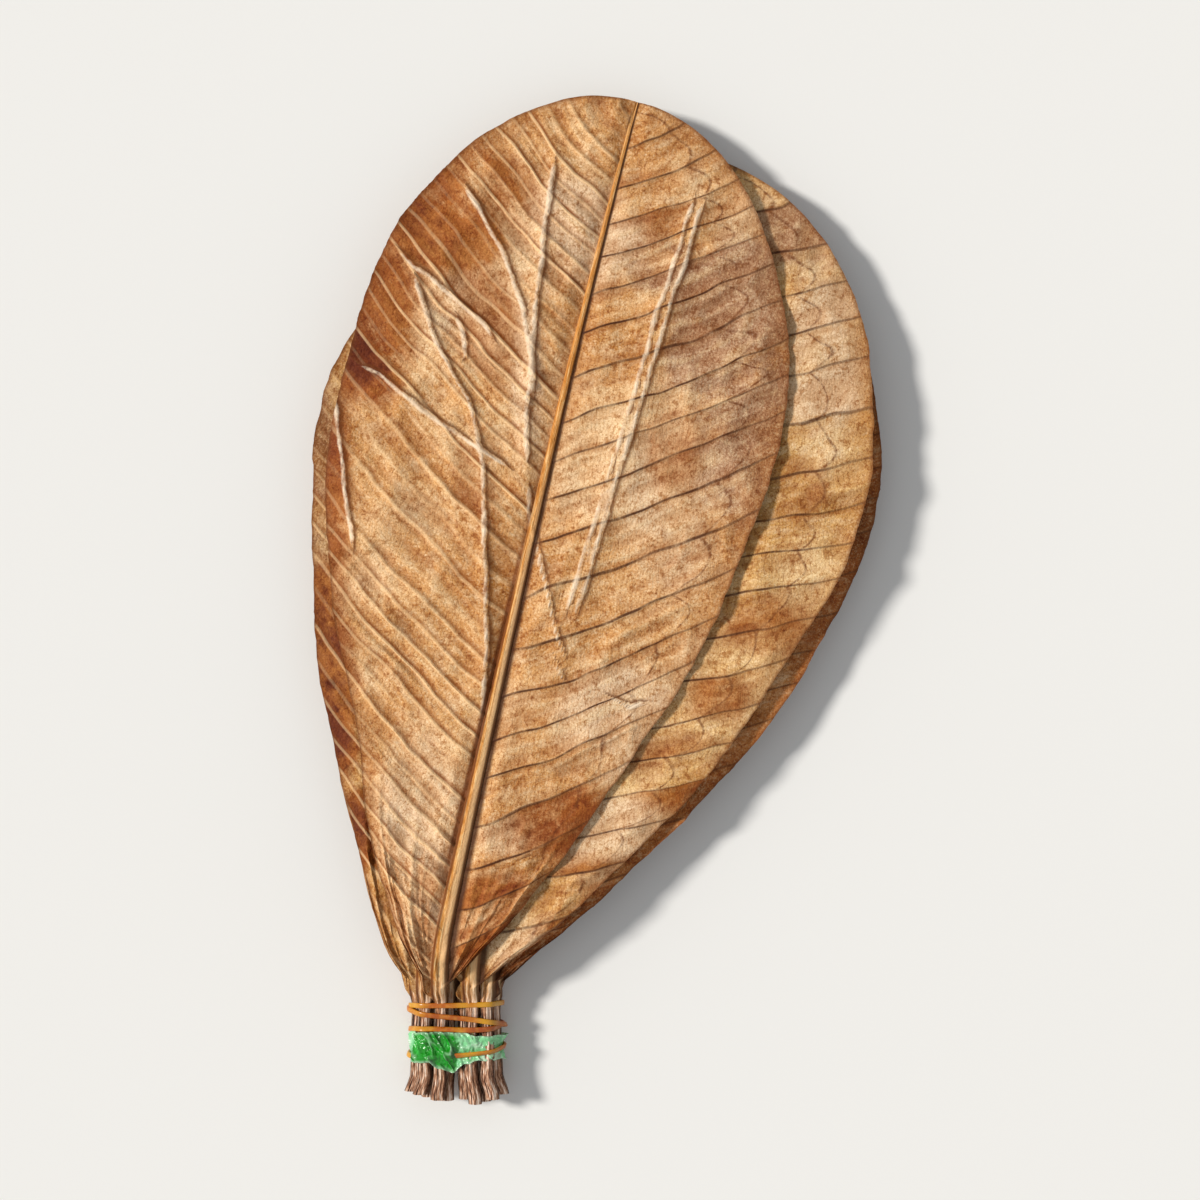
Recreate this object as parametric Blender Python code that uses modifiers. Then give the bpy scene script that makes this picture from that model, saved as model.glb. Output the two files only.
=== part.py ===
"""A tied bunch of ten dried magnolia leaves, lying flat.

The leaves are stacked one on another in a narrow fan, undersides up, so that each midrib stands up
as a ridge. Their stalks lie side by side in two layers, wrapped in a strip of green film, and one
rubber band is wound four times round them. Lengths are in metres, +Z is up, and the leaf tips
point along +Y. The origin is below the middle of the bunch, on the surface that it lies on.
"""

import math

import bmesh
import bpy
import numpy as np

MM = 0.001

# Leaf blade and stalk
BLADE = 0.4 * MM  # thickness of the dry blade
WIDEST_POWER = 1.61  # puts the widest place at about two thirds of the blade
FULLNESS = 0.47  # makes the tip round and the base a soft wedge
STALK_RADIUS = 1.8 * MM
TIP_RADIUS = 0.35 * MM  # of the midrib where it runs out at the tip
RIDGE = 1.2 * MM  # how far the midrib stands above the blade near its base
BLADE_START = 16.8 * MM  # where the blades begin, above the middle of the tie
STALK_BELOW = 14 * MM  # cut ends of the stalks, below the middle of the tie
STALK = STALK_BELOW + BLADE_START
BEND = 26 * MM  # over this length a midrib turns from the tie into its place in the fan
SPLAY = 0.2  # how much wider apart the cut ends are than the stalks in the tie

# Tie
FILM = 0.4 * MM
FILM_HALF_WIDTH = 5.8 * MM
BAND_RADIUS = 0.5 * MM
BAND_TURNS = 4
BAND_MIDDLE = 6.0 * MM  # middle of the band's turns, above the middle of the film
BAND_SPREAD = 7.0 * MM  # how far the turns wander up and down
BAND_LAYER = 0.9 * MM  # how far they pass over and under each other
CLEAR = 0.35 * MM  # between the stalks and what is wrapped round them
LAYER_RISE = 3.25 * MM  # stalks of the upper layer lie in the grooves of the lower one
TIE_DEPTH = CLEAR + FILM + CLEAR + 2 * BAND_RADIUS + 2 * BAND_LAYER
TIE_LOW = -FILM_HALF_WIDTH - 1 * MM
TIE_HIGH = BAND_MIDDLE + BAND_SPREAD + BAND_RADIUS + 1 * MM

# Stacking
GAP = 0.35 * MM  # least air between one leaf and the next
SAG = 0.02 * MM  # how far a leaf sinks under its own weight at each step of settling
SETTLING_STEPS = 40
CELL = 0.5 * MM  # grid on which the height of the stack is kept
GRID_CORNER = (-70 * MM, -25 * MM)
GRID_SIZE = (420, 620)
REFINE = 50  # steps along each side of a leaf's faces, closer than CELL

# Stations along a leaf: the stalk in metres from the blade's start, the blade in shares of its length
STALK_STATIONS = (-STALK, -24 * MM, -2.6 * MM)
BLADE_STATIONS = (
    0.008, 0.035, 0.08, 0.14, 0.21, 0.29, 0.38, 0.47, 0.56, 0.65,
    0.74, 0.82, 0.89, 0.945, 0.98, 0.995, 1.0,
)  # fmt: skip

# Places across half a leaf, from the midrib's crest out: angle on the round stalk, distance in
# midrib radii, share of the rest of the half width, share of the ridge's height
CREST = (90, 0, 0, 1)
FLANKS = ((122, 1.2, 0, 0), (140, 1, 0.22, 0), (155, 1, 0.54, 0), (168, 1, 0.82, 0))
MARGIN = (180, 1, 1, 0)
RIB = slice(len(FLANKS), len(FLANKS) + 3)  # the columns of the midrib, which bend as one

# Colours are linear, as Principled BSDF takes them
LEAF_BROWN = (0.38, 0.19, 0.075)
FILM_GREEN = (0.05, 0.55, 0.13)
BAND_AMBER = (0.55, 0.21, 0.02)

# The leaves from the top of the stack down. slot is a stalk's place across the tie and cut is how
# much longer it is than STALK, fan is its midrib's turn in degrees and sway the further turn of its
# tip, length, left and right size the blade, and curl is how far its margins lift, in mm.
LEAVES = (
    dict(slot=-4.4, layer=1, cut=0.6, fan=12.2, sway=2.4, length=258, left=64.0, right=62.0, curl=1.8),
    dict(slot=4.4, layer=1, cut=1.8, fan=16.4, sway=1.5, length=246, left=62.0, right=70.0, curl=1.4),
    dict(slot=-8.8, layer=1, cut=-1.0, fan=14.0, sway=0.0, length=249, left=64.5, right=60.0, curl=1.2),
    dict(slot=8.8, layer=1, cut=0.4, fan=21.5, sway=2.0, length=226, left=58.0, right=57.5, curl=1.0),
    dict(slot=-2.2, layer=0, cut=1.2, fan=15.0, sway=-1.0, length=242, left=62.0, right=59.0, curl=0.3),
    dict(slot=11.0, layer=0, cut=-0.6, fan=17.5, sway=1.5, length=234, left=60.0, right=60.0, curl=0.6),
    dict(slot=-11.0, layer=0, cut=-1.4, fan=14.2, sway=0.0, length=236, left=60.0, right=60.0, curl=0.3),
    dict(slot=2.2, layer=0, cut=0.9, fan=15.5, sway=1.0, length=244, left=60.0, right=61.0, curl=0.3),
    dict(slot=-6.6, layer=0, cut=0.2, fan=14.5, sway=1.0, length=229, left=60.0, right=58.0, curl=0.3),
    dict(slot=6.6, layer=0, cut=1.5, fan=16.5, sway=-1.0, length=238, left=62.0, right=63.0, curl=0.0),
)


def clear_scene():
    for obj in list(bpy.data.objects):
        bpy.data.objects.remove(obj, do_unlink=True)


def new_collection(name):
    collection = bpy.data.collections.new(name)
    bpy.context.scene.collection.children.link(collection)
    return collection


def material(name, colour, roughness):
    made = bpy.data.materials.new(name)
    made.use_nodes = True
    shader = made.node_tree.nodes["Principled BSDF"]
    shader.inputs["Base Color"].default_value = (*colour, 1)
    shader.inputs["Roughness"].default_value = roughness
    return made


def smoothstep(x):
    x = np.clip(x, 0, 1)
    return x * x * (3 - 2 * x)


def midrib_line(leaf, along):
    """Plan position and heading of the midrib, at the given lengths from the blade's start."""
    length = leaf["length"] * MM
    step = 0.25 * MM
    fine = np.arange(-STALK - 3 * MM, length + step, step)
    turn = math.radians(leaf["fan"]) * smoothstep((fine + 2 * MM) / BEND)
    turn += math.radians(leaf["sway"]) * np.clip(fine / length, 0, 1) ** 2
    x = leaf["slot"] * MM + np.cumsum(np.sin(turn)) * step
    y = BLADE_START + fine[0] + np.cumsum(np.cos(turn)) * step
    x *= 1 + SPLAY * smoothstep((TIE_LOW - y) / (STALK_BELOW + TIE_LOW))
    return tuple(np.interp(along, fine, values) for values in (x, y, turn))


def half_width(leaf, side, share):
    """The blade's half width at a share of its length, on side -1 (left) or 1 (right)."""
    widest = (leaf["left"] if side < 0 else leaf["right"]) * MM
    full = np.sin(math.pi * np.clip(share, 0, 1) ** WIDEST_POWER).clip(0) ** FULLNESS
    wave = 1 + 0.012 * np.sin(19 * share + 2 * leaf["fan"] + side)
    return widest * full * wave


def columns():
    """The places across a leaf's upper side from left to right, each with its side first."""
    flank = (*FLANKS, MARGIN)
    return [*((-1, *place) for place in reversed(flank)), (0, *CREST), *((1, *place) for place in flank)]


def leaf_sheets(leaf):
    """Plan position, and height of the lower and the upper side above what the leaf lies on, for
    each station and column. The round stalk's flanks are drawn out to make the blade."""
    length = leaf["length"] * MM
    along = np.array([*STALK_STATIONS, *(share * length for share in BLADE_STATIONS)])
    along[0] -= leaf["cut"] * MM
    share = np.clip(along / length, 0, 1)
    x, y, turn = midrib_line(leaf, along)
    radius = STALK_RADIUS + (TIP_RADIUS - STALK_RADIUS) * share**0.75
    ridge = RIDGE * (1 - share) ** 1.1 + 0.15 * MM
    plan, low, high = [], [], []
    for side, angle, radii, spread, crest in columns():
        width = np.maximum(half_width(leaf, side or 1, share), radius)
        blade = smoothstep((width - radius) / (4 * MM))
        across = abs(math.cos(math.radians(angle)))
        drawn = radius * (across * (1 - blade) + radii * blade) + (width - radius) * spread
        reach = side * np.minimum(drawn, width)
        plan.append(np.stack([x + reach * np.cos(turn), y - reach * np.sin(turn)], axis=-1))
        rise = 0 if spread == 1 else radius * math.sin(math.radians(angle))
        half = BLADE / 2 if spread == 1 else 0
        low.append((radius - rise) * (1 - blade) + blade * half)
        high.append((radius + rise) * (1 - blade) + blade * (BLADE - half + ridge * crest))
    return np.stack(plan, axis=1), np.stack(low, axis=1), np.stack(high, axis=1)


def steps_between(count):
    """Weights that turn count values into a line of them with REFINE steps between neighbours."""
    fine = np.linspace(0, count - 1, (count - 1) * REFINE + 1)[:, None]
    return np.clip(1 - np.abs(fine - np.arange(count)), 0, 1)


def refined(values):
    """A grid of values with REFINE steps between each two neighbours, along both directions."""
    return steps_between(values.shape[0]) @ values @ steps_between(values.shape[1]).T


def cells_under(plan):
    """Indices of the grid's cells under the refined points of a leaf."""
    across, along = (
        np.round((refined(plan[..., axis]) - GRID_CORNER[axis]) / CELL).astype(int) for axis in (0, 1)
    )
    return across, along


def widened(stack):
    """The stack's height with each cell raised to its highest neighbour."""
    padded = np.pad(stack, 1, mode="edge")
    rows, cols = stack.shape
    return np.max([padded[i : i + rows, j : j + cols] for i in range(3) for j in range(3)], axis=0)


def least_height(stack, plan):
    """For each point of a leaf, the height that keeps the faces round it clear of the stack."""
    under = widened(stack)[cells_under(plan)]
    rows, cols = plan.shape[:2]
    faces = under[1:, 1:].reshape(rows - 1, REFINE, cols - 1, REFINE).max(axis=(1, 3))
    padded = np.pad(faces, 1, mode="edge")
    return np.max([padded[:-1, :-1], padded[1:, :-1], padded[:-1, 1:], padded[1:, 1:]], axis=0)


def settled(need, stalk_height):
    """The height of each point of a stiff leaf that lies on those points, held by its stalk."""
    stalk = len(STALK_STATIONS)
    height = need
    for _ in range(SETTLING_STEPS):
        height[:stalk] = stalk_height
        padded = np.pad(height, 1, mode="edge")
        beside = (padded[:-2, 1:-1] + padded[2:, 1:-1] + padded[1:-1, :-2] + padded[1:-1, 2:]) / 4
        height = np.maximum(need, (height + beside) / 2 - SAG)
        height[:, RIB] = height[:, RIB].max(axis=1, keepdims=True)
    height[:stalk] = stalk_height
    return height


def curled(leaf, shape):
    """How far each point of a leaf lifts: a dry leaf's margins rise in a few slow waves."""
    rows, cols = shape
    share = np.array([*(0 for _ in STALK_STATIONS), *BLADE_STATIONS])[:, None]
    across = np.linspace(-1, 1, cols)[None, :]
    wave = 0.5 + 0.5 * np.sin(11 * share + leaf["fan"] + 1.3 * np.sign(across))
    return leaf["curl"] * MM * wave * np.abs(across) ** 3 * np.sin(math.pi * share).clip(0) ** 0.5


def rolled_skin(name, rings, paint, collection):
    """A closed solid from rings of points: a grid rolled into a tube, its seam merged, its ends filled."""
    stations, around = rings.shape[:2]
    bm = bmesh.new()
    bmesh.ops.create_grid(bm, x_segments=around - 1, y_segments=stations - 1, size=1)
    for vert, place in zip(bm.verts, rings.reshape(-1, 3)):
        vert.co = place
    bmesh.ops.remove_doubles(bm, verts=bm.verts, dist=0.005 * MM)
    bmesh.ops.holes_fill(bm, edges=[edge for edge in bm.edges if edge.is_boundary])
    bmesh.ops.recalc_face_normals(bm, faces=bm.faces)
    mesh = bpy.data.meshes.new(name)
    bm.to_mesh(mesh)
    bm.free()
    mesh.materials.append(paint)
    mesh.shade_smooth()
    made = bpy.data.objects.new(name, mesh)
    collection.objects.link(made)


def lay_leaf(name, leaf, stack, paint, collection):
    """Lays a leaf on the stack, raises the stack by it, and returns its stalk's centre in the tie."""
    plan, low, high = leaf_sheets(leaf)
    stalk_height = TIE_DEPTH + leaf["layer"] * LAYER_RISE
    rest = settled(least_height(stack, plan), stalk_height) + curled(leaf, plan.shape[:2])
    top = np.dstack([plan, rest + high])
    bottom = np.dstack([plan, rest + low])[:, -2::-1]
    rolled_skin(name, np.concatenate([top, bottom], axis=1), paint, collection)
    np.maximum.at(stack, cells_under(plan), refined(rest + high) + GAP)
    return leaf["slot"] * MM, stalk_height + STALK_RADIUS


def pulled_tight(stalks, outwards, turn):
    """Where something pulled tight round the stalks, outwards from their skins, is at this angle."""
    normal = np.array([math.cos(turn), math.sin(turn)])
    outermost = max(stalks, key=lambda centre: np.dot(centre, normal))
    return np.array(outermost) + (STALK_RADIUS + outwards) * normal


def wrap_film(stalks, paint, collection):
    """The strip of green film: a sleeve round the stalks, with its thickness outwards."""
    turns = np.linspace(0, 2 * math.pi, 37)
    levels = (-FILM_HALF_WIDTH, FILM_HALF_WIDTH)
    bm = bmesh.new()
    bmesh.ops.create_grid(bm, x_segments=len(turns) - 1, y_segments=len(levels) - 1, size=1)
    outline = [pulled_tight(stalks, CLEAR, turn) for turn in turns]
    for vert, (level, (x, z)) in zip(bm.verts, ((level, point) for level in levels for point in outline)):
        vert.co = (x, level, z)
    bmesh.ops.remove_doubles(bm, verts=bm.verts, dist=0.005 * MM)
    bmesh.ops.recalc_face_normals(bm, faces=bm.faces)
    mesh = bpy.data.meshes.new("green_film")
    bm.to_mesh(mesh)
    bm.free()
    mesh.materials.append(paint)
    made = bpy.data.objects.new("green_film", mesh)
    collection.objects.link(made)
    wall = made.modifiers.new("thickness", "SOLIDIFY")
    wall.thickness = FILM
    wall.offset = 1


def wind_band(stalks, paint, collection):
    """One rubber band wound round the stalks. Its turns pass over and under each other without
    meeting, as the strands of a ring-shaped coil do, and the last joins the first."""
    count = 96
    curve = bpy.data.curves.new("rubber_band", "CURVE")
    curve.dimensions = "3D"
    curve.bevel_depth = BAND_RADIUS
    curve.bevel_resolution = 1
    line = curve.splines.new("POLY")
    line.points.add(count - 1)
    line.use_cyclic_u = True
    for i, point in enumerate(line.points):
        phase = 2 * math.pi * i / count
        turn = BAND_TURNS * phase
        y = BAND_MIDDLE + BAND_SPREAD * math.cos(phase)
        over_film = (FILM + CLEAR) * smoothstep((FILM_HALF_WIDTH + 2.5 * MM - y) / (1.5 * MM))
        layer = BAND_LAYER * (1 + math.sin(phase))
        x, z = pulled_tight(stalks, CLEAR + over_film + BAND_RADIUS + layer, turn)
        point.co = (x, y, z, 1)
    curve.materials.append(paint)
    collection.objects.link(bpy.data.objects.new("rubber_band", curve))


def stand_on_origin(objects):
    """Moves all pieces so that the middle of the bunch's underside is the origin."""
    bpy.context.view_layer.update()
    graph = bpy.context.evaluated_depsgraph_get()
    points = [
        vert.co.copy() for obj in objects for vert in obj.evaluated_get(graph).to_mesh().vertices
    ]
    low, high = np.min(points, axis=0), np.max(points, axis=0)
    for obj in objects:
        obj.location = (-(low[0] + high[0]) / 2, -(low[1] + high[1]) / 2, -low[2])


def main():
    clear_scene()
    collection = new_collection("dried_magnolia_leaf_bunch")
    leaf_paint = material("dry_leaf", LEAF_BROWN, 0.6)
    film_paint = material("green_film", FILM_GREEN, 0.35)
    band_paint = material("rubber", BAND_AMBER, 0.4)

    stack = np.zeros(GRID_SIZE)
    tie_low, tie_high = (round((y - GRID_CORNER[1]) / CELL) for y in (TIE_LOW, TIE_HIGH))
    stack[:, tie_low : tie_high + 1] = TIE_DEPTH
    stalks = []
    for number in range(len(LEAVES), 0, -1):
        name = f"leaf_{number:02d}"
        stalks.append(lay_leaf(name, LEAVES[number - 1], stack, leaf_paint, collection))
    wrap_film(stalks, film_paint, collection)
    wind_band(stalks, band_paint, collection)
    stand_on_origin(list(collection.objects))


main()
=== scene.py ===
"""The looks of a tied bunch of ten dried magnolia leaves, lying flat with their undersides up.

Each leaf is a thin veined sheet drawn out of its round stalk, laid on the height of its plain solid.
A strip of crumpled green film and one amber rubber band, wound four times, hold the stalks. Shapes
are worked out in millimetres from the middle of the tie, and turned into metres as they are made.
"""

import math
from functools import partial
from types import SimpleNamespace

import bmesh
import bpy
import numpy as np
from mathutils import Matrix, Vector
from mathutils.bvhtree import BVHTree


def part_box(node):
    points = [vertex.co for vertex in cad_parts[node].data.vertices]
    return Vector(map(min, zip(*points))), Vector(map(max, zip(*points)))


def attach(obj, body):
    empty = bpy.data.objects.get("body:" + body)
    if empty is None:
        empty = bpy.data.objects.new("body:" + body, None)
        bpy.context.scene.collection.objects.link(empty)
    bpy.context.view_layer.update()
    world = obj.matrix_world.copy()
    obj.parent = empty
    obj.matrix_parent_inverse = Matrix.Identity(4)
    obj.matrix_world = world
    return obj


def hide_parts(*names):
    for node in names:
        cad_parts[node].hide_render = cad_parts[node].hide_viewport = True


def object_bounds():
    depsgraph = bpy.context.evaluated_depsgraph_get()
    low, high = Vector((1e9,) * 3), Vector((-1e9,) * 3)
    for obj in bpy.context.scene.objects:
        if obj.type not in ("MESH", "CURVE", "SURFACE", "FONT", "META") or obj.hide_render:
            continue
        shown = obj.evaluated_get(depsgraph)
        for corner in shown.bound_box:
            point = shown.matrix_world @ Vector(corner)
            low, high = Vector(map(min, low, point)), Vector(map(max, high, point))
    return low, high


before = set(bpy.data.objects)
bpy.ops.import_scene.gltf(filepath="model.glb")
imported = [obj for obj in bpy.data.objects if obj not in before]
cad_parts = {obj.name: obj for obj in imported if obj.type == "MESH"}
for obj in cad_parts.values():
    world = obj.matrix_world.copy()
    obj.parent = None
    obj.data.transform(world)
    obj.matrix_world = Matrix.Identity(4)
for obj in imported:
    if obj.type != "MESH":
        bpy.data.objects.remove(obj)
cad_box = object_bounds()

MM = 0.001
TIE = [(low + high) / 2 / MM for low, high in zip(*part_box("green_film"))]  # its middle

# Leaf, as in the solids
WIDEST_POWER = 1.61
FULLNESS = 0.47
STALK_RADIUS = 1.8
TIP_RADIUS = 0.35
BLADE_START = 16.8
STALK_BELOW = 14
STALK = STALK_BELOW + BLADE_START
BEND = 26
SPLAY = 0.2
TIE_LOW = -6.8
TIE_DEPTH = 3.9
LAYER_RISE = 3.25

# Sheet and veins
BLADE = 0.3  # thinner than the solids', to leave room for its veins
RIDGE = 1.5  # height of the midrib at the blade's start
WING = 2.6  # width of the blade where it runs out along the stalk
VEIN_SPACING = 12.4
VEIN_RISE = 0.625  # how far a side vein climbs for each millimetre outwards
ALONG_VEIN = 1.18  # and its length
SLANT = 0.85  # a millimetre along the midrib, measured square to the veins
ACROSS_VEINS = VEIN_SPACING * SLANT
LEFT, RIGHT = -1, 1
RIDGES = {LEFT: 2, RIGHT: 1}  # to a vein space
VEIN_HEIGHT = {LEFT: 0.8, RIGHT: 0.4}
LOOPS_INSIDE = 13  # from the margin to the side veins' loops
PRESSED = 0.8  # share of its curl that a pressed margin has lost
NO_CREASE = 20.0  # distance where there is none

# Reading the stack on a grid
CELL = 6
WIDE_OPEN = 3  # room above an uncovered leaf
CLEAR_ABOVE = 0.1

# The leaves from the top of the stack down, as in the solids but for a millimetre or two of width.
# slot is a stalk's place across the tie, where layer 1 lies on layer 0, and cut is how much longer it
# is than STALK. fan is its midrib's turn in degrees and sway the further turn of its tip. length,
# left and right size the blade, and curl is how far its margins lift. rows and columns set how fine
# the sheet is, crumple how creased it is, and tone its colours.
MEASURES = "slot layer cut fan sway length left right curl rows columns crumple tone".split()
LEAVES = [SimpleNamespace(rise=VEIN_RISE, dents=(), stains={}, **dict(zip(MEASURES, row))) for row in (
    (-4.4, 1, 0.6, 12.2, 2.4, 258, 62.4, 62.0, 1.8, 1.3, 58, 1.0, "tan"),
    (4.4, 1, 1.8, 16.4, 1.5, 246, 62.0, 70.0, 1.4, 1.0, 42, 1.0, "olive"),
    (-8.8, 1, -1.0, 14.0, 0.0, 249, 66.2, 60.0, 1.2, 0.8, 32, 0.8, "olive"),
    (8.8, 1, 0.4, 21.5, 2.0, 226, 58.0, 57.5, 1.0, 0.9, 34, 0.9, "russet"),
    (-2.2, 0, 1.2, 15.0, -1.0, 242, 62.0, 59.0, 0.3, 0.45, 18, 0.5, "tan"),
    (11.0, 0, -0.6, 17.5, 1.5, 234, 60.0, 60.0, 0.6, 0.55, 22, 0.6, "russet"),
    (-11.0, 0, -1.4, 14.2, 0.0, 236, 60.0, 60.0, 0.3, 0.45, 18, 0.5, "olive"),
    (2.2, 0, 0.9, 15.5, 1.0, 244, 60.0, 61.0, 0.3, 0.45, 18, 0.5, "tan"),
    (-6.6, 0, 0.2, 14.5, 1.0, 229, 60.0, 58.0, 0.3, 0.45, 18, 0.5, "russet"),
    (6.6, 0, 1.5, 16.5, -1.0, 238, 62.0, 63.0, 0.0, 0.8, 32, 0.6, "tan"),
)]
TOP_LEAF, SECOND_LEAF, THIRD_LEAF = LEAVES[:3]

# Dents in a margin: which side, where along the blade, how deep and how long
TOP_LEAF.dents = ((LEFT, 0.26, 2.8, 0.06),)
THIRD_LEAF.dents = ((LEFT, 0.78, 5, 0.13),)
SECOND_LEAF.rise = 0.44  # its veins climb less

# Stains by kind: the middle of each, its half width and height, and its strength
TOP_LEAF.stains = dict(
    brown=(
        (-25, 206, 13, 19, 1.3), (-37, 158, 7, 50, 0.8), (12, 34, 13, 15, 0.75), (-2, 238, 22, 17, 0.85),
        (62, 172, 9, 14, 0.45), (10, 205, 9, 22, 0.4), (30, 66, 14, 10, 0.55), (6, 160, 7, 20, 0.3),
        (54, 240, 13, 8, 0.4), (-36, 106, 8, 22, 0.6),
    ),
    mauve=((80, 200, 17, 24, 1.0), (80, 168, 14, 20, 0.5), (66, 140, 10, 18, 0.3), (58, 222, 12, 8, 0.45)),
    bleached=(
        (34, 230, 16, 14, 1.2), (-4, 205, 22, 14, 0.4), (46, 92, 16, 14, 0.8), (-10, 66, 11, 24, 0.6),
        # the narrow wash at (20, 188) beside the midrib is partly real paleness and partly a painted
        # highlight
        (-10, 34, 12, 12, 0.8), (14, 62, 8, 6, 0.5), (60, 160, 12, 30, 0.4), (20, 188, 4, 20, 1.0),
    ),
)
SECOND_LEAF.stains = dict(
    brown=(
        (88, 120, 12, 8, 0.5), (66, 78, 18, 10, 0.55), (40, 40, 18, 14, 0.6), (98, 158, 8, 10, 0.45),
        (74, 100, 9, 7, 0.4),
    ),
    mauve=((95, 232, 16, 14, 0.4),),
    bleached=((104, 192, 10, 26, 0.8), (46, 58, 14, 14, 0.9), (20, 30, 10, 10, 0.8)),
)
THIRD_LEAF.stains = dict(
    brown=((-35, 108, 9, 26, 1.3), (-26, 62, 9, 10, 1.2), (-14, 36, 12, 14, 0.4)),
    mauve=((-40, 165, 9, 26, 0.6),),
)

# Where along it the second leaf's midrib presses two folds into the top leaf
PRESSES_THROUGH = (238, 104)
RIB_FOLD_HEIGHT = 0.85

# Sharp creases pressed into the top leaf: height, then points from its upper end
CREASES = (
    (1.3, ((29, 258), (25, 232), (24, 221), (22, 200), (20, 182), (20.5, 160))),
    (1.4, ((-14, 225), (-5, 199), (4, 184), (8, 165), (9, 121), (8, 97), (5, 78))),
    (1.2, ((0, 250), (13, 226), (19, 210), (22, 192), (21, 178))),
    (0.8, ((-20, 231), (-12, 221), (-7, 218), (8, 205), (14, 195))),
    (1.2, ((-31, 198), (-27, 193), (-22, 191), (-4, 177), (8, 169), (20, 162))),
    (0.8, ((-34, 190), (-33, 179), (-31, 159), (-29, 147), (-28.5, 136))),
    (0.8, ((20, 166), (21, 152), (24, 138), (28, 121), (33, 105))),
    (0.4, ((-3, 214), (2, 203), (3, 196), (-1, 190))),
    (0.4, ((26, 117), (31, 104), (34, 98))),
    (0.4, ((38, 104), (49, 97), (60, 100))),
    (0.4, ((14, 58), (17, 54), (22, 55), (25, 52))),
)

# What each point of a leaf keeps for its materials: where it lies from veins, margin, midrib and
# creases, in millimetres, rib radii or shares of the blade, how stained it is, and how its ridges are
# rubbed pale and its furrows darkened with painted shade
STAIN_KINDS = ("brown", "mauve", "bleached")
POINT_VALUES = (
    "vein_count", "out", "past_loops", "from_edge", "from_rib", "share", "from_crease", "crease_side",
    *STAIN_KINDS, "worn",
)
LEFT_COUNTS_FROM = 40  # so that no vein's count is on both sides
UPPER_SIDE, PITH = 1, 2  # places among a leaf's materials

# How far out each point of the rib is, in rib radii
RIB_COLUMNS = (0, 0.2, 0.4, 0.6, 0.8, 1.0, 1.2, 1.45)
RIB_EDGE = RIB_COLUMNS[-1]

# The tie: the band's height at each quarter turn, starting on the right
BAND_TURNS = 4
BAND_HEIGHTS = (12.6, 12.9, 12.2, 9.5, 6.2, 5.6, 5.9, 3.0, 0.6, -1.9, -2.6, 2.0, 7.0, 8.9, 10.8, 12.2)
BAND_STEPS = 180  # to a turn
BAND_HALF_WIDTH = 0.75
BAND_HALF_THICK = 0.42
BAND_OFF_STALKS = 0.15
OVER_FILM = 0.5  # room for the film under the band
FILM_START, FILM_END = 0.27, 1.46  # turns from the right: it lies double at the front's left
FILM_TOP, FILM_LOW = 5.0, -3.4
FILM_OFF_STALKS = 0.12
FILM_THICK = 0.05
FRINGE = 3.2  # depth of its torn lower edge in front

# Light and camera
TOWARD_LIGHT = Vector((-0.76, 0.14, 0.64))
KEY_STRENGTH = 3.1
FILL_STRENGTH = 0.42
LENS = 85
FILLS_FRAME = 0.84  # share of the picture's height
FLOOR_HALF_SIDE = 60  # in metres
FLOOR_BELOW = 0.4


def smoothstep(x):
    """From 0 at 0 to 1 at 1, level at both ends."""
    x = np.clip(x, 0, 1)
    return x * x * (3 - 2 * x)


def bump(x):
    """1 at 0, falling to nothing at about 2."""
    return np.exp(-(x**2))


def off_whole(x):
    """How far x is from the nearest whole number."""
    return np.abs(x - np.round(x))


def lumps(x, y, size, seed):
    """Smooth irregular lumps between about -1 and 1, their width about size."""
    total = np.zeros(np.broadcast(x, y).shape)
    for i in range(6):
        turn = 2.4 * i + seed
        pitch = (0.75 + 0.13 * i) * math.pi / size
        along = (x * math.cos(turn) + y * math.sin(turn)) * pitch
        across = (x * math.sin(turn) - y * math.cos(turn)) * pitch
        bent = along + 1.3 * np.sin(0.7 * across + 5.1 * i + seed)
        total += np.sin(bent) * np.cos(0.6 * across + 3.7 * i)
    return total / 2.4


def creased(x, y, size, seed):
    """Facets that meet in sharp ridges, from 0 to about 1."""
    return 1 - np.minimum(np.abs(lumps(x, y, size, seed)) * 1.6, 1)


# The stack of solids, read from below


def lower_side(node):
    """What gives the height of a solid's lower side at a plan place, or nan beside it."""
    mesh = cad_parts[node].data
    corners = [vert.co for vert in mesh.vertices]
    tree = BVHTree.FromPolygons(corners, [face.vertices for face in mesh.polygons])

    def height(x, y):
        start = Vector(((x + TIE[0]) * MM, (y + TIE[1]) * MM, -0.01))
        place = tree.ray_cast(start, Vector((0, 0, 1)))[0]
        return place.z / MM if place else math.nan

    return np.vectorize(height)


def reading_grid():
    """The x and the y at which the stack is read, some cells past it on every side."""
    low, high = ([value / MM - tie for value, tie in zip(corner, TIE)] for corner in cad_box)
    return tuple(np.arange(low[axis] - 3 * CELL, high[axis] + 4 * CELL, CELL) for axis in (0, 1))


def spread_out(values):
    """The grid with its empty places filled from their neighbours, outwards."""
    while np.isnan(values).any():
        padded = np.pad(values, 1, constant_values=np.nan)
        beside = np.stack([padded[:-2, 1:-1], padded[2:, 1:-1], padded[1:-1, :-2], padded[1:-1, 2:]])
        count = np.sum(~np.isnan(beside), axis=0)
        mean = np.where(count > 0, np.nansum(beside, axis=0) / np.maximum(count, 1), np.nan)
        values = np.where(np.isnan(values), mean, values)
    return values


def least_beside(values):
    """Each place of the grid with the least value round it."""
    padded = np.pad(values, 1, mode="edge")
    rows, cols = values.shape
    return np.min([padded[i : i + rows, j : j + cols] for i in range(3) for j in range(3)], axis=0)


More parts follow.
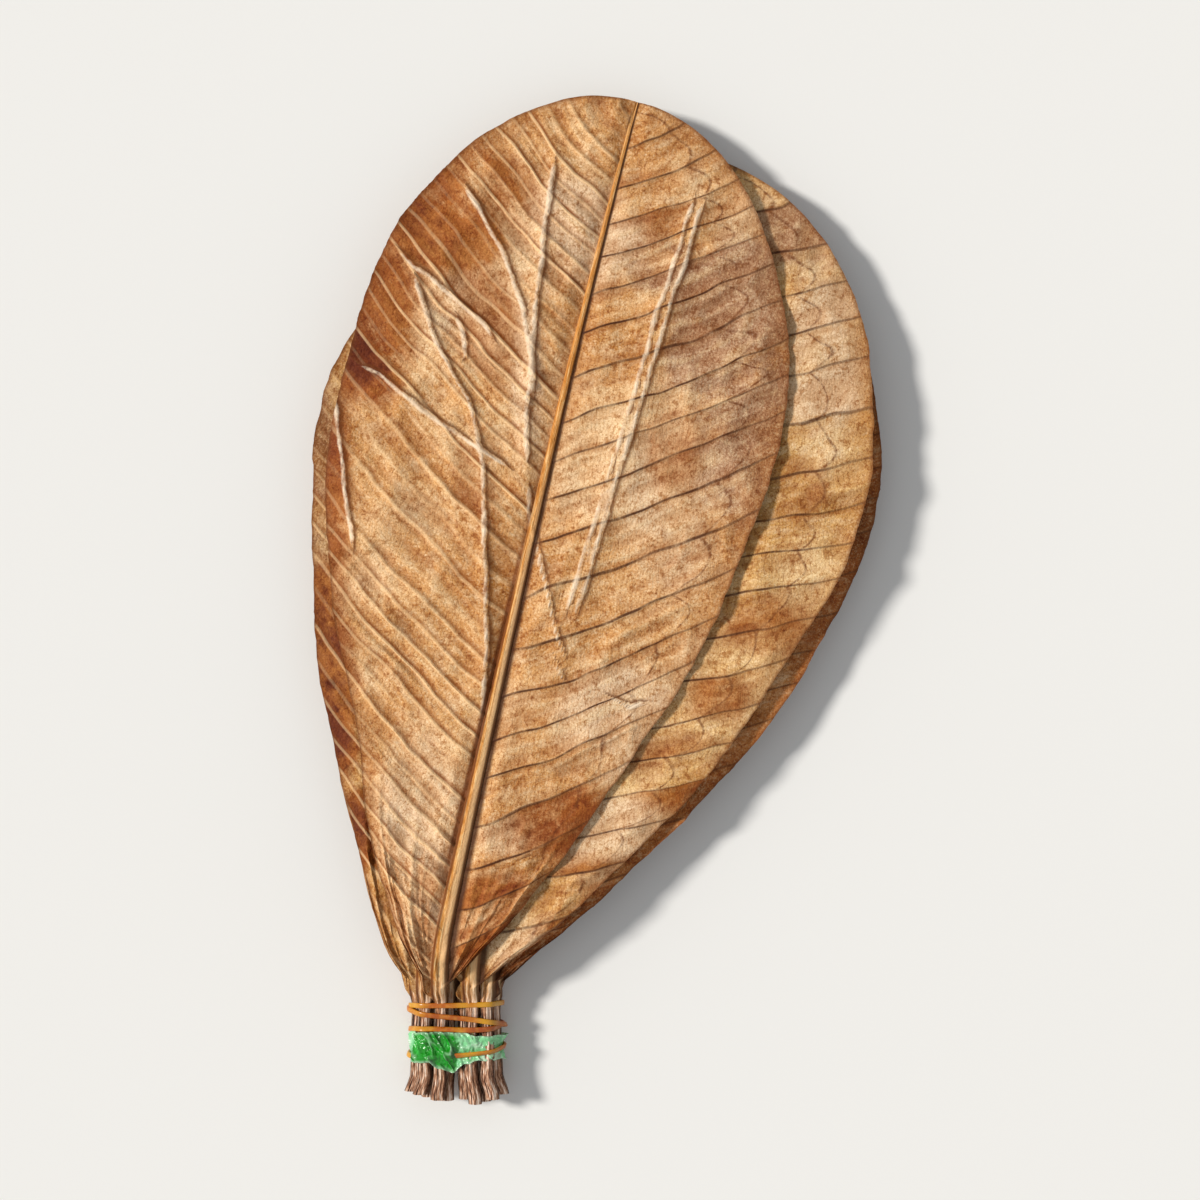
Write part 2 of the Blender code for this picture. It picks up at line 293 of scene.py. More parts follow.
def read_smoothly(grid, values, x, y):
    """The grid's values at any places, blended so that no step or fold of the grid shows."""
    cells = []
    for axis, place in ((0, x), (1, y)):
        at = np.clip((place - grid[axis][0]) / CELL, 1, len(grid[axis]) - 3 - 1e-6)
        whole = np.floor(at).astype(int)
        t = at - whole
        weights = ((1 - t) ** 3, 3 * t**3 - 6 * t**2 + 4, -3 * t**3 + 3 * t**2 + 3 * t + 1, t**3)
        cells.append([(whole + i - 1, weight / 6) for i, weight in enumerate(weights)])
    return sum(wx * wy * values[ix, iy] for ix, wx in cells[0] for iy, wy in cells[1])


# Meshes


def placed_grid(places, kept):
    """A bmesh grid with its points at these places, each point keeping its values of kept."""
    stations, across = places.shape[:2]
    bm = bmesh.new()
    bmesh.ops.create_grid(bm, x_segments=across - 1, y_segments=stations - 1, size=1)
    layers = [bm.verts.layers.float.new(key) for key in kept]
    values = [np.broadcast_to(array, (stations, across)).ravel().tolist() for array in kept.values()]
    metres = ((places + (TIE[0], TIE[1], 0)) * MM).reshape(-1, 3)
    for index, (vert, place) in enumerate(zip(bm.verts, metres)):
        vert.co = place
        for layer, numbers in zip(layers, values):
            vert[layer] = numbers[index]
    for face in bm.faces:
        face.smooth = True
    return bm


def close_skin(bm):
    """Makes one closed skin of a grid that was rolled into a tube or a ring."""
    bmesh.ops.remove_doubles(bm, verts=bm.verts, dist=0.004 * MM)
    bmesh.ops.holes_fill(bm, edges=[edge for edge in bm.edges if edge.is_boundary])
    bmesh.ops.recalc_face_normals(bm, faces=bm.faces)


def add_mesh(name, bm, materials):
    """The object that a bmesh makes, with its materials."""
    mesh = bpy.data.meshes.new(name)
    bm.to_mesh(mesh)
    bm.free()
    for material in materials:
        mesh.materials.append(material)
    made = bpy.data.objects.new(name, mesh)
    bpy.context.scene.collection.objects.link(made)
    return made


def make_piece(name, bm, materials, node_replaced):
    """A finished piece on the body, which stands for its plain solid."""
    piece = add_mesh(name, bm, materials)
    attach(piece, "root")
    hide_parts(node_replaced)
    return piece


# Leaves


def midrib_line(leaf, along):
    """Plan position and heading of the midrib, at the given lengths from the blade's start."""
    step = 0.25
    fine = np.arange(-STALK - 3, leaf.length + step, step)
    turn = math.radians(leaf.fan) * smoothstep((fine + 2) / BEND)
    turn += math.radians(leaf.sway) * np.clip(fine / leaf.length, 0, 1) ** 2
    x = leaf.slot + np.cumsum(np.sin(turn)) * step
    y = BLADE_START + fine[0] + np.cumsum(np.cos(turn)) * step
    x *= 1 + SPLAY * smoothstep((TIE_LOW - y) / (STALK_BELOW + TIE_LOW))
    x += 0.25 * smoothstep(-fine / 4) * np.sin(y / 5 + 3 * leaf.fan)
    return tuple(np.interp(along, fine, values) for values in (x, y, turn))


def half_width(leaf, side, share):
    """The blade's half width at a share of its length, on its left or right side."""
    widest = leaf.left if side == LEFT else leaf.right
    full = np.sin(math.pi * np.clip(share, 0, 1) ** WIDEST_POWER).clip(0) ** FULLNESS
    wave = 1 + 0.012 * np.sin(19 * share + 2 * leaf.fan + side)
    dents = sum(deep * bump((share - at) / long) for of, at, deep, long in leaf.dents if of == side)
    return widest * full * wave - dents


def vein_count(leaf, side, along):
    """How many side veins leave the midrib below this length: a vein is at each whole number."""
    seed = leaf.fan
    count = along / VEIN_SPACING + 0.32 * np.sin(along / 31 + seed) + 0.12 * np.sin(along / 11 + 2 * seed)
    return count + (0.43 + 0.1 * np.sin(along / 23 + seed) if side == LEFT else 0)


def row_starts(leaf):
    """Where the rows of the sheet start on the midrib: close together at each side vein."""
    step = 0.02
    fine = np.arange(0, leaf.length + step / 2, step)
    at_veins = sum(
        bump(off_whole(often * vein_count(leaf, side, fine)) * VEIN_SPACING / often / 0.9) / often
        for side, often in RIDGES.items()
    )
    at_ends = bump(fine / 5) + bump((leaf.length - fine) / 4)
    rows = np.cumsum((0.85 + 1.5 * at_veins + at_ends) * leaf.rows) * step
    return np.interp(np.linspace(rows[0], rows[-1], int(rows[-1])), rows, fine)


def margin_shares(leaf, side, starts):
    """Where along the blade each row meets the margin, climbing as a side vein does."""
    shares = (1 - np.cos(np.linspace(0, math.pi, 4000))) / 2
    begins = shares - leaf.rise * half_width(leaf, side, shares) / leaf.length
    begins = np.maximum.accumulate(begins) + 1e-8 * np.arange(len(shares))
    return np.interp(starts / leaf.length, begins, shares)


def side_places(leaf, side):
    """The points of one side of a leaf, a row to a station and a column to a step outwards. s is how
    far out each is, as a share of its width."""
    seed = leaf.fan
    stalk_rows = np.linspace(-STALK - leaf.cut, -0.6, max(8, int(34 * leaf.rows)))
    blade_rows = row_starts(leaf)
    starts = np.concatenate([stalk_rows, blade_rows])[:, None]
    ends = np.concatenate([stalk_rows, margin_shares(leaf, side, blade_rows) * leaf.length])[:, None]
    share = np.clip(starts / leaf.length, 0, 1)
    swelling = 0.1 * lumps(starts, 0, 9, seed) + 0.14 * smoothstep((-starts - 18) / 10)
    radius = STALK_RADIUS + (TIP_RADIUS - STALK_RADIUS) * share**0.75
    radius *= 1 + swelling * smoothstep(-starts / 6)
    wing = WING * smoothstep((starts + 8) / 9) * (1 + 0.4 * lumps(starts, side, 5, seed))
    width = np.maximum(half_width(leaf, side, ends / leaf.length), radius + wing)
    blade = np.where(share > 0.5, 1, smoothstep((width - radius) / 4))
    ragged = 0.35 * lumps(ends, 0, 17, side + seed) + 0.16 * lumps(ends, 0, 5, seed - side)
    ragged = ragged + 0.14 * creased(ends, 0, 2.6, seed + 2 * side)
    width = width + blade * np.minimum(width / 20, 1) * ragged
    out = 1 - (1 - np.linspace(0, 1, leaf.columns + 1)[1:]) ** 1.12
    radii = np.pad(RIB_COLUMNS, (0, len(out)), mode="edge")
    spread = np.pad(out, (len(RIB_COLUMNS), 0))
    angle = np.linspace(math.pi / 2, math.pi, len(radii))
    flat = radii * radius + (width - RIB_EDGE * radius) * spread
    lateral = np.minimum(radius * np.abs(np.cos(angle)) * (1 - blade) + flat * blade, width)
    s = lateral / width
    along = starts + (ends - starts) * (0.93 * s + 0.07 * s**2)
    x, y, turn = midrib_line(leaf, along)
    return SimpleNamespace(
        x=x + side * lateral * np.cos(turn), y=y - side * lateral * np.sin(turn),
        starts=starts, along=along, lateral=lateral, s=s, width=width, radius=radius, blade=blade,
        round=radius * np.sin(angle), share=share, edge=width * (1 - s) * SLANT,
        off_rib=smoothstep((lateral - 1.5 * radius) / 5),
    )


def from_line(points, x, y):
    """Signed distance of each place from a line through the points: positive on its left."""
    best = np.full(x.shape, np.inf)
    for a, b in zip(points[:-1], points[1:]):
        step = np.subtract(b, a)
        t = np.clip(((x - a[0]) * step[0] + (y - a[1]) * step[1]) / (step @ step), 0, 1)
        from_a = (x - a[0] - t * step[0], y - a[1] - t * step[1])
        side = np.sign(from_a[1] * step[0] - from_a[0] * step[1])
        distance = side * np.hypot(*from_a)
        best = np.where(np.abs(distance) < np.abs(best), distance, best)
    return best


def pressed_creases(x, y):
    """Relief of the top leaf's sharp creases and of the two folds over the next leaf's midrib, and
    the signed distance from the nearest."""
    below = np.stack(midrib_line(SECOND_LEAF, np.linspace(*PRESSES_THROUGH, 12))[:2], axis=1)
    wander = 0.4 * lumps(x, y, 15, 2.0) + 0.1 * lumps(x, y, 4, 4.0)
    rib = from_line(below, x, y) + wander
    half_rib = 1.25 + 0.5 * lumps(x, y, 16, 1.0) ** 2
    folds = [(RIB_FOLD_HEIGHT, below, rib + half) for half in (-half_rib, half_rib)]
    folds += [(height, points, from_line(points, x, y) + wander) for height, points in CREASES]
    relief = np.zeros(x.shape)
    nearest = np.full(x.shape, NO_CREASE)
    for height, points, distance in folds:
        from_ends = [np.hypot(x - end[0], y - end[1]) for end in (points[0], points[-1])]
        taper = smoothstep(np.min(from_ends, axis=0) / 10)
        tent = np.clip(1 - np.abs(distance) / 7, 0, 1) ** 1.5
        relief += height * taper * (0.5 * bump(distance / 1.3) + 0.7 * tent)
        distance = np.sign(distance) * (np.abs(distance) + 2.2 * (1 - taper))
        nearest = np.where(np.abs(distance) < np.abs(nearest), distance, nearest)
    return relief, nearest


def veins_at(leaf, side, place):
    """Count of side veins at each point, a chance number for its stretch between two of them, and
    how far past their loops it is."""
    x, y, seed = place.x, place.y, leaf.fan
    bend = 0.22 * place.s**2.5 + 0.07 * lumps(x, y, 24, seed) + 0.025 * lumps(x, y, 8, seed + 1)
    count = vein_count(leaf, side, place.starts) - bend
    chance = 0.5 + 0.5 * np.sin(np.floor(count) * 12.9 + side * 4 + seed)
    deep, part = 3 + 4 * chance, np.clip(count % 1, 0.02, 1)
    loops = LOOPS_INSIDE - deep * np.sin(math.pi * part**0.7) + 1.5 * lumps(x, y, 12, seed)
    steep = deep * 0.7 * math.pi * part**-0.3 * np.cos(math.pi * part**0.7) / ACROSS_VEINS
    past = loops * np.clip(place.width / 50, 0.3, 1) - place.edge
    return count, chance, past / np.hypot(1, steep)


def vein_relief(leaf, side, place, count, chance, past_loops):
    """How far veins and pleats stand up, and how each place is painted for its relief: more than 0 on
    ridges rubbed pale, and less in furrows darkened with painted shade."""
    x, y, s, lateral, seed = place.x, place.y, place.s, place.lateral, leaf.fan
    often = RIDGES[side]
    nearest = np.round(count * often)
    beside = (count - nearest / often) * ACROSS_VEINS
    own, between_two = 0.75 + 0.25 * np.sin(nearest * 4.1), 0.35 + 0.35 * np.sin(nearest * 7.3)
    clear = np.where(nearest % often, between_two, own)
    fade = clear * smoothstep((lateral - place.radius) / 2) * smoothstep(1 - past_loops / 3) * (1 - 0.5 * s)
    ridge = fade * (bump(beside / 0.55) - 0.4 * bump((beside - 1.2) / 0.7))
    between = off_whole(count + 0.5 / often + 0.1 * lumps(x, y, 14, seed)) * ACROSS_VEINS
    minor = chance * smoothstep(s / 0.08) * smoothstep((0.8 - s) / 0.4) * bump(between / 0.6)
    inside = smoothstep(s / 0.12) * smoothstep((1 - s) / 0.2)
    pleats = inside * creased(count * VEIN_SPACING, lateral * 0.16, 8, seed + side)
    fine_pleats = inside * creased(count * VEIN_SPACING, lateral * 0.1, 3.8, seed - side)
    quilt = (0.2 + 0.4 * chance) * inside * (0.5 + 0.5 * np.cos(2 * math.pi * count))
    quilt *= 1 + 1.5 * smoothstep((70 - place.along) / 30)
    height = VEIN_HEIGHT[side]
    relief = quilt + height * (0.8 * ridge + 0.3 * minor + 0.65 * pleats + 0.25 * fine_pleats)
    worn = height * (ridge + 0.7 * minor) + 0.8 * (pleats - 0.45) + 0.5 * (fine_pleats - 0.45)
    return relief + 0.08 * bump(past_loops / 0.7), worn


def stains_at(leaf, x, y, kind):
    """A wash of colour: brown where the leaf dried darkest, mauve where it was bruised, or bleached."""
    wash = np.zeros(x.shape)
    for middle_x, middle_y, wide, tall, strength in leaf.stains.get(kind, ()):
        near = np.hypot((x - middle_x) / wide, (y - middle_y) / tall)
        wash = np.maximum(wash, strength * smoothstep(1.6 - near))
    return wash


def crumpled(leaf, place):
    """Relief of the lumps and creases that the blade dried into, its folds alone, and the signed
    distance from the nearest sharp crease."""
    x, y, seed = place.x, place.y, leaf.fan
    folds = creased(x, y, 13, seed + 1)
    relief = 0.9 * creased(x, y, 30, seed) + 0.5 * folds + 0.3 * lumps(x, y, 17, seed) + 0.3
    relief *= leaf.crumple * place.off_rib
    crease = np.full(x.shape, NO_CREASE)
    if leaf is TOP_LEAF:
        pressed, crease = pressed_creases(x, y)
        relief += pressed * smoothstep(place.lateral / 4)
    return relief, folds, crease


def base_gathers(leaf, side, place):
    """Relief of the gathers above the stalk, and how far the blade is gathered there."""
    s, along, seed = place.s, place.along, leaf.fan
    gathered = smoothstep((60 - along) / 45) * smoothstep((place.lateral - 1.3 * place.radius) / 3)
    coarse = creased(s * 16, along * 0.06, 5, seed + 3 * side) ** 1.5
    fine = creased(s * 30 + 7, along * 0.1, 4, seed - side)
    return gathered * (coarse + 0.4 * fine), gathered


def midrib_relief(place):
    """The midrib's round section, 1 along its top, and its height, which fades towards the tip."""
    to_tip = 1 - place.share
    section = np.clip(1 - (place.lateral / (RIB_EDGE * place.radius)) ** 2, 0, 1) ** 0.8
    return section, (RIDGE * to_tip**0.9 + 0.2 * smoothstep(to_tip / 0.03)) * section


def stalk_relief(leaf, side, place):
    """How far the round stalk stands out from its middle, shrunk into furrows."""
    turned = np.arcsin(np.clip(place.lateral / place.radius, 0, 1)) * side
    shrunk = 1 + 0.08 * np.sin(5 * turned + leaf.fan + place.along / 12)
    return place.round * (shrunk + 0.05 * np.sin(11 * turned + 2 * leaf.fan))


def rest_height(leaf, side, place, stack):
    """The height that the sheet lies at: its midrib's, the solid's further out, and less where the
    margin is pressed down."""
    reach = smoothstep((place.lateral - 3) / 12) * smoothstep(place.along / 22)
    rest = stack.axis(place.along) * (1 - reach) + stack.rest(place.x, place.y) * reach
    middle = np.sin(math.pi * np.clip(place.along / leaf.length, 0, 1)).clip(0) ** 0.5
    wave = 0.5 + 0.5 * np.sin(11 * place.share + leaf.fan + 1.3 * side)
    return rest - PRESSED * leaf.curl * wave * place.s**3 * middle


def side_sheet(leaf, side, stack):
    """Upper and lower points of one side of a leaf, and what its materials read there. Where other
    leaves lie on it, its relief is flattened."""
    place = side_places(leaf, side)
    x, y, s, blade, lateral, radius = place.x, place.y, place.s, place.blade, place.lateral, place.radius
    count, chance, past_loops = veins_at(leaf, side, place)
    veins, worn = vein_relief(leaf, side, place, count, chance, past_loops)
    crumple, folds, crease = crumpled(leaf, place)
    gathers, gathered = base_gathers(leaf, side, place)
    ripple = 0.5 * s**5 * lumps(place.along, 0, 8, leaf.fan + side)
    furrow = 0.45 * bump((lateral - 2.1 * radius) / 0.8) * place.off_rib
    open_to_air = smoothstep(stack.room(x, y) / 2.2)
    bulge = (veins + crumple + ripple + 1.5 * gathers - furrow) * open_to_air
    section, rib = midrib_relief(place)
    hump = stalk_relief(leaf, side, place)
    thin = BLADE * (1 - 0.35 * s**8)
    high = (radius + hump) * (1 - blade) + blade * (thin + rib + bulge)
    grooves = 0.3 * section + 0.1 * veins * (1 - open_to_air)
    low = (radius - hump) * (1 - blade) + blade * (bulge + grooves)
    kept = {
        "vein_count": count + (LEFT_COUNTS_FROM if side == LEFT else 0),
        "out": lateral * ALONG_VEIN,
        "past_loops": past_loops,
        "from_edge": place.edge + 3 * (1 - blade),
        "from_rib": side * lateral / radius,
        "share": place.along / leaf.length,
        "from_crease": np.abs(crease),
        "crease_side": np.clip(crease / 0.4, -1, 1),
        **{kind: stains_at(leaf, x, y, kind) for kind in STAIN_KINDS},
        # ridges of folds and gathers rubbed pale, and painted shade in their furrows
        "worn": worn + 0.5 * (folds - 0.5) * place.off_rib + 1.5 * (gathers - 0.6 * gathered),
    }
    kept = {key: np.broadcast_to(values, x.shape) for key, values in kept.items()}
    rest = rest_height(leaf, side, place, stack)
    return np.stack([x, y, rest + high], axis=-1), np.stack([x, y, rest + low], axis=-1), kept


def cut_end(rings):
    """Rows that close the stalk's cut end, its rim drawn in and its pith sunk a little."""
    middle = rings[0].mean(axis=0)
    steps = ((0, 0.7), (0.35, 0.65), (0.6, 0.35), (0.85, 0.05), (0.97, -0.05))
    return np.stack([middle + (rings[0] - middle) * share + (0, sunk, 0) for share, sunk in steps])


def lay_leaf(number, leaf, stack, materials):
    """One dried leaf: both sides of its sheet, rolled into one skin, with its cut end closed."""
    left, right = (side_sheet(leaf, side, stack) for side in (LEFT, RIGHT))

    def all_round(values, lower_values):
        """Upper side from left to right, then the lower side back with every other column."""
        upper, lower = (np.concatenate([a[:, :0:-1], b], axis=1) for a, b in (values, lower_values))
        return np.concatenate([upper, lower[:, ::-2], upper[:, :1]], axis=1)

    rings = all_round((left[0], right[0]), (left[1], right[1]))
    end = cut_end(rings)
    kept = {}
    for key in left[2]:
        values = all_round((left[2][key], right[2][key]), (left[2][key], right[2][key]))
        kept[key] = np.concatenate([np.repeat(values[:1], len(end), axis=0), values])
    bm = placed_grid(np.concatenate([end, rings]), kept)
    upper_columns = 2 * left[0].shape[1] - 1
    stalk_rows = len(end) + np.sum(left[2]["share"][:, 0] < 0.015)
    for index, face in enumerate(bm.faces):
        row, column = divmod(index, rings.shape[1] - 1)
        if row < len(end) - 1:
            face.material_index = PITH
        elif row > stalk_rows and column >= upper_columns:
            face.material_index = UPPER_SIDE
    close_skin(bm)
    made = make_piece(f"dried_leaf_{number:02d}", bm, materials, f"leaf_{number:02d}")
    made.data.set_sharp_from_angle(angle=math.radians(65))


def lay_all(materials):
    """All ten leaves, each on the height of its own solid, with its relief kept to the room above."""
    grid = reading_grid()
    x, y = np.meshgrid(*grid, indexing="ij")
    readers = [lower_side(f"leaf_{number:02d}") for number in range(1, len(LEAVES) + 1)]
    under = [reader(x, y) for reader in readers]
    for index, leaf in enumerate(LEAVES):
        above = [side - PRESSED * other.curl for side, other in zip(under[:index], LEAVES)]
        room = np.nanmin([*above, np.full(x.shape, np.inf)], axis=0) - under[index] - BLADE - CLEAR_ABOVE
        room = spread_out(least_beside(np.minimum(np.nan_to_num(room, nan=WIDE_OPEN), WIDE_OPEN)))
        along = np.arange(-STALK - leaf.cut + 0.5, leaf.length - 0.5, 1.5)
        spine = readers[index](*midrib_line(leaf, along)[:2])
        spine = np.convolve(np.pad(spine, 3, mode="edge"), np.array([1, 2, 3, 4, 3, 2, 1]) / 16, "valid")
        stack = SimpleNamespace(
            axis=partial(np.interp, xp=along, fp=spine),
            rest=partial(read_smoothly, grid, spread_out(under[index])),
            room=partial(read_smoothly, grid, room),
        )
        lay_leaf(index + 1, leaf, stack, materials[leaf.tone])


# Tie


def unit(vectors):
    """Each row as a vector of length 1."""
    return vectors / np.linalg.norm(vectors, axis=1, keepdims=True)


def smoothed(ring, times):
    """A closed row of values, each blended with its neighbours."""
    for _ in range(times):
        ring = (np.roll(ring, 1, axis=0) + 2 * ring + np.roll(ring, -1, axis=0)) / 4
    return ring


def round_stalks(turns):
    """The x and z of places tight round the stalks, these turns from the right, and of the way out."""
    angles = np.linspace(0, 2 * math.pi, 721)
    outward = np.stack([np.cos(angles), np.sin(angles)], axis=1)
    level = TIE_DEPTH + STALK_RADIUS
    centres = np.array([(leaf.slot, level + leaf.layer * LAYER_RISE) for leaf in LEAVES])
    places = centres[np.argmax(centres @ outward.T, axis=0)] + STALK_RADIUS * outward
    length = np.concatenate([[0], np.cumsum(np.linalg.norm(np.diff(places, axis=0), axis=1))])
    at = (turns % 1) * length[-1]
    x, z, out_x, out_z = (np.interp(at, length, axis) for axis in (*places.T, *outward.T))
    size = np.hypot(out_x, out_z)
    return x, z, out_x / size, out_z / size


def band_heights(turns):
    """The height of the band's middle line after these turns, smooth and slightly wavy."""
    stations = np.arange(16 * BAND_TURNS) / 16
    quarters = np.arange(len(BAND_HEIGHTS)) / 4
    heights = smoothed(np.interp(stations, quarters, BAND_HEIGHTS, period=BAND_TURNS), 3)
    return np.interp(turns, stations, heights, period=BAND_TURNS) + 0.18 * np.sin(14 * turns + 1)


def band_route(turns):
    """The band's middle line after these turns, and the way out from the stalks. It lies close to
    them, and lifts only where it passes over the film or an earlier turn."""
    y = band_heights(turns)
    lift = np.zeros(len(turns))
    for earlier in range(1, BAND_TURNS):
        over = bump((y - np.roll(y, earlier * BAND_STEPS)) / 1.3)
        lift += np.where(np.arange(len(turns)) >= earlier * BAND_STEPS, over, 0)
    on_film = OVER_FILM * smoothstep((5.4 - y) / 0.8)
    x, z, out_x, out_z = round_stalks(turns)
    away = BAND_OFF_STALKS + on_film + BAND_HALF_THICK + 2.1 * BAND_HALF_THICK * np.minimum(lift, 1.2)
    line = smoothed(np.stack([x + out_x * away, y, z + out_z * away], axis=1), 6)
    return line, np.stack([out_x, 0 * y, out_z], axis=1)


def band_section(turns, line, outward):
    """Which way the band's width and thickness point after these turns: it leans to and fro."""
    tangent = unit(np.roll(line, -1, axis=0) - np.roll(line, 1, axis=0))
    outward = unit(outward - tangent * np.sum(outward * tangent, axis=1, keepdims=True))
    beside = np.cross(tangent, outward)
    lean = 0.5 * np.sin(4.7 * turns + 1) + 0.35 * np.sin(11 * turns)
    lean = (lean * np.sin(math.pi * turns / BAND_TURNS))[:, None]
    across = beside * np.cos(lean) - outward * np.sin(lean)
    return across, outward * np.cos(lean) + beside * np.sin(lean)


def wind_band(material):
    """One flat rubber band, its edges rounded, wound four times round the stalks."""
    turns = np.arange(BAND_TURNS * BAND_STEPS) / BAND_STEPS
    line, outward = band_route(turns)
    across, outward = band_section(turns, line, outward)
    around = np.linspace(0, 2 * math.pi, 15)
    wide, thick = (
        half * np.sign(wave) * np.abs(wave) ** 0.6
        for half, wave in ((BAND_HALF_WIDTH, np.cos(around)), (BAND_HALF_THICK, np.sin(around)))
    )
    rings = line[:, None] + across[:, None] * wide[:, None] + outward[:, None] * thick[:, None]
    along = np.linspace(0, BAND_TURNS, len(turns) + 1)[:, None]
    bm = placed_grid(np.concatenate([rings, rings[:1]]), {"turn": along})
    close_skin(bm)
    make_piece("wound_band", bm, [material], "rubber_band")


def wrap_film(material):
    """The strip of green film, wound a turn and a fifth round the stalks and crumpled, pressed flat
    under the band. Its lower edge hangs down in a torn fringe."""
    turns = np.linspace(FILM_START, FILM_END, 400)
    turn, level = np.meshgrid(turns, np.linspace(0, 1, 37), indexing="ij")
    x, z, out_x, out_z = (values[:, None] for values in round_stalks(turns))
    across = x + 1.7 * z
    top = FILM_TOP - 1.4 * smoothstep(x / 8) + 0.5 * lumps(across, 0, 4, 1.0)
    fringe = FRINGE * bump((x + 1.5) / 3.5) * (out_z > 0.5)
    low = FILM_LOW - fringe + 0.6 * lumps(across, 0, 3, 2.0)
    y = low + (top - low) * level
    strands = [band_heights(turn % 1 + k) for k in range(BAND_TURNS)]
    pressed = np.max([bump((y - strand) / 1.2) for strand in strands], axis=0)
    fold = creased(across + 0.7 * y, 0.4 * y, 3.4, 0.7)
    small = creased(across * 1.1 + 5, y, 1.6, 2.1)
    flare = (2 * level - 1) ** 6 * (0.5 + lumps(across, y * 0.2, 3.5, 1.0))
    outer = smoothstep((turn - FILM_START - 0.96) / 0.06)
    loose = (0.9 * fold**1.5 + 0.3 * small + 0.8 * flare) * (1 - 0.9 * pressed * (1 - outer))
    over_band = outer * bump((y - band_heights(turn % 1 + 2)) / 1.5) * (OVER_FILM + 2 * BAND_HALF_THICK)
    free_end = smoothstep((turn - FILM_END + 0.03) / 0.03)
    away = FILM_OFF_STALKS + 0.3 * outer + loose + over_band + 0.5 * free_end
    places = np.stack([x + out_x * away, y, z + out_z * away], axis=-1)
    bm = placed_grid(places, {"turn": turn, "fold": fold, "level": level})
    bmesh.ops.recalc_face_normals(bm, faces=bm.faces)
    bmesh.ops.solidify(bm, geom=bm.faces[:], thickness=FILM_THICK * MM)
    for face in bm.faces:
        face.smooth = True
    make_piece("crumpled_film", bm, [material], "green_film")


# Materials


def linear(colour):
    """An sRGB hex colour as the linear values that shaders take."""
    parts = [int(colour[i : i + 2], 16) / 255 for i in (1, 3, 5)]
    return (*(c / 12.92 if c <= 0.04045 else ((c + 0.055) / 1.055) ** 2.4 for c in parts), 1)


def scale_of(size):
    """The scale of a pattern whose grains are this many millimetres wide."""
    return 1 / (size * MM)


def node(tree, kind, *values, gives=None, **named):
    """Adds a shader node and gives back one of its outputs, the first unless one is named. Values go
    to its open sockets in order. A name with a capital is a socket, and any other is a setting."""
    made = tree.nodes.new("ShaderNode" + kind)
    for name, value in named.items():
        if name[0].islower():
            setattr(made, name, value)
    sockets = dict(zip([socket for socket in made.inputs if socket.enabled], values))
    for name, value in named.items():
        if name[0].isupper():
            sockets[made.inputs[name.replace("_", " ")]] = value
    for socket, value in sockets.items():
        if isinstance(value, bpy.types.NodeSocket):
            tree.links.new(value, socket)
        else:
            socket.default_value = value
    given = [socket for socket in made.outputs if socket.enabled and gives in (None, socket.name)]
    return given[0] if given else None


def node_adder(owner):
    """Empties the nodes of a material or a world, and gives what adds a node there."""
    owner.use_nodes = True
    owner.node_tree.nodes.clear()
    return partial(node, owner.node_tree)


def new_material(name):
    """An empty material, and what adds a node to it."""
    made = bpy.data.materials.new(name)
    return made, node_adder(made)


def painted(add, colour, coats, blend="MIX"):
    """Coats of colour over a colour, each laid on as a value goes from one number to another, up to
    a strength."""
    for value, start, full, strength, tint in coats:
        amount = add("MapRange", value, start, full, 0, strength)
        tint = linear(tint) if isinstance(tint, str) else tint
        colour = add("Mix", amount, colour, tint, data_type="RGBA", blend_type=blend)
    return colour


def weighed(add, *parts):
    """The sum of values, each times its weight."""
    total = 0
    for value, weight in parts:
        total = add("Math", value, weight, total, operation="MULTIPLY_ADD")
    return total


def finish(add, dents, depth, **surface):
    """The surface shader, with dents of this depth in millimetres."""
    normal = add("Bump", Height=dents, Strength=0.9, Distance=depth * MM)
    add("OutputMaterial", add("BsdfPrincipled", Normal=normal, **surface))


# The blade's dark, middling and pale patches
TONES = {
    "tan": ("#CE8E48", "#EEB878", "#FFDDB0"),
    "olive": ("#C69044", "#EDBC72", "#FFDFA8"),
    "russet": ("#8C4818", "#C0702E", "#E29E5C"),
}


def add_patterns(add, at):
    """Gives the underside's patterns to what is known at each of its places."""
    place = add("TexCoord", gives="Object")
    # patches, blotches, mottled cells and grains
    at.broad, at.blotches, at.cells, at.grains = (
        add("TexNoise", place, Scale=scale_of(size), Detail=detail, Roughness=roughness)
        for size, detail, roughness in ((33.3, 5, 0.65), (8.33, 4, 0.7), (2.38, 5, 0.75), (0.588, 3, 0.8))
    )
    # streaks along the side veins, 2.5 mm wide and 9 mm long
    streaked = add("CombineXYZ", weighed(add, (at.vein_count, 3.1)), weighed(add, (at.out, 0.07)), 1.7)
    at.streaks = add("TexNoise", streaked, Scale=1.6, Detail=4, Roughness=0.6)
    # each stretch between two side veins dried in its own way
    stretch = add("Math", at.vein_count, operation="FLOOR")
    at.chance = add("TexWhiteNoise", W=stretch, noise_dimensions="1D")
    # ladder of cross veins about 1.8 mm apart, and the finest net, drawn at 1 mm so that it shows
    wobble = add("TexNoise", place, Scale=scale_of(4.76), Detail=2)
    rung = weighed(add, (at.out, 0.55), (wobble, 4), (stretch, 0.37))
    at.rung = add("Math", rung, 0.5, operation="PINGPONG")
    at.net = add("TexVoronoi", place, Scale=scale_of(1.053), feature="DISTANCE_TO_EDGE")
    # fibres 6 mm long, and 0.4 mm wide on the stalk
    fibrous = add("CombineXYZ", weighed(add, (at.from_rib, 2.6)), weighed(add, (at.share, 26)), 0.3)
    at.fibres = add("TexNoise", fibrous, Scale=1.6, Detail=5, Roughness=0.65)
    at.near_crease = weighed(add, (at.from_crease, 1), (at.cells, 0.6), (at.blotches, 1.6), (1, -1.05))


